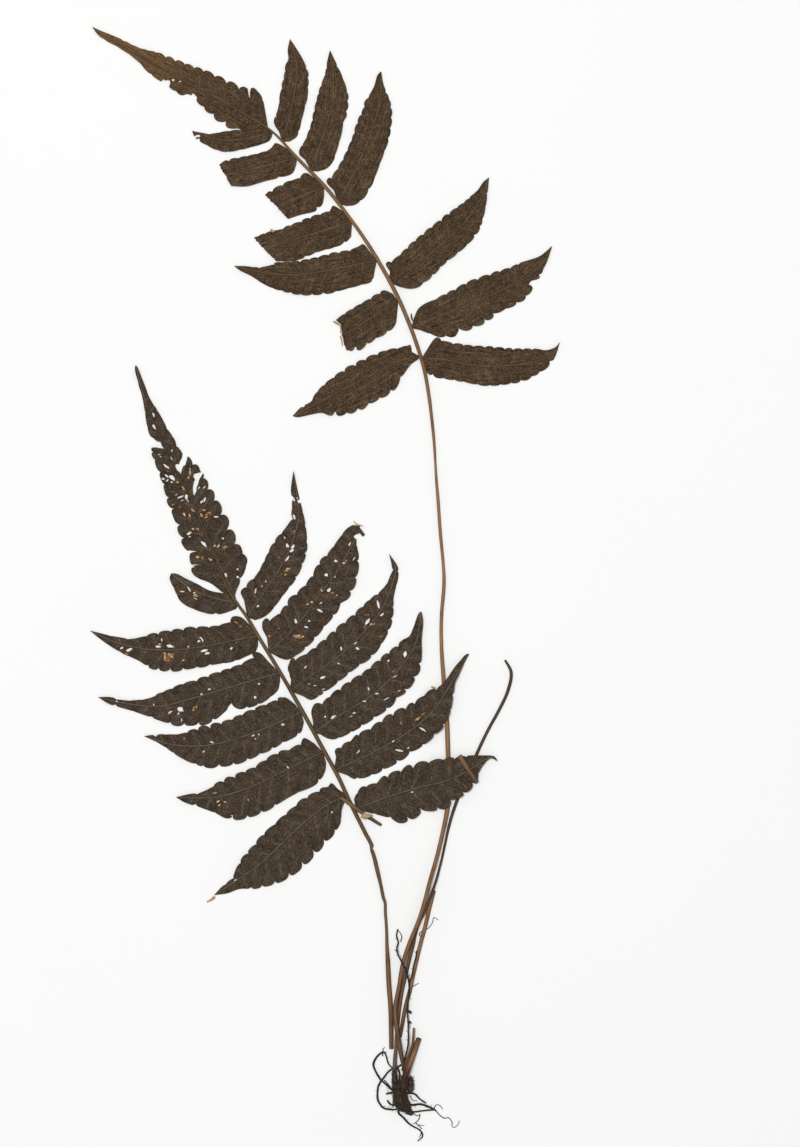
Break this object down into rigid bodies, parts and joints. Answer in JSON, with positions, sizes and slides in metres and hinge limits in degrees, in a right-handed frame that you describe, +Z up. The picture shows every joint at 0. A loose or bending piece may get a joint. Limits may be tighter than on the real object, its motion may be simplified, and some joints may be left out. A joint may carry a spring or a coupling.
{
  "type": "pressed fern plant",
  "caption": "Dried, pressed fern plant lying flat: pinnate fronds with lobed, long-tailed pinnae, bare stipes, and a short scaly rhizome with wiry roots.",
  "frame": {"origin": "middle of the plant's bounding box, on the surface that the plant lies on (z = 0)", "axes": "+Y from the rhizome towards the frond tips, +Z up from the surface, +X to the right with the frond tips away"},
  "size_m": [0.1766, 0.4186, 0.0059],
  "materials": {
    "blade_upper": "dry leaf, matt, brown",
    "blade_lower": "dry leaf, matt, dark brown with tan chewed edges",
    "young_stipe": "dry stalk, dark, slightly glossy",
    "broken_stipe": "dry stalk, tan brown, fine grain",
    "old_stipe": "dry stalk, reddish brown, fine grain",
    "rhizome": "dark, rough, scaly"
  },
  "bodies": {
    "root": {"frond_upper": "blade_upper", "frond_lower": "blade_lower", "young_stipe": "young_stipe", "broken_stipe": "broken_stipe", "old_stipe_thick": "old_stipe", "old_stipe_thin": "old_stipe", "rhizome": "rhizome"}
  },
  "joints": []
}
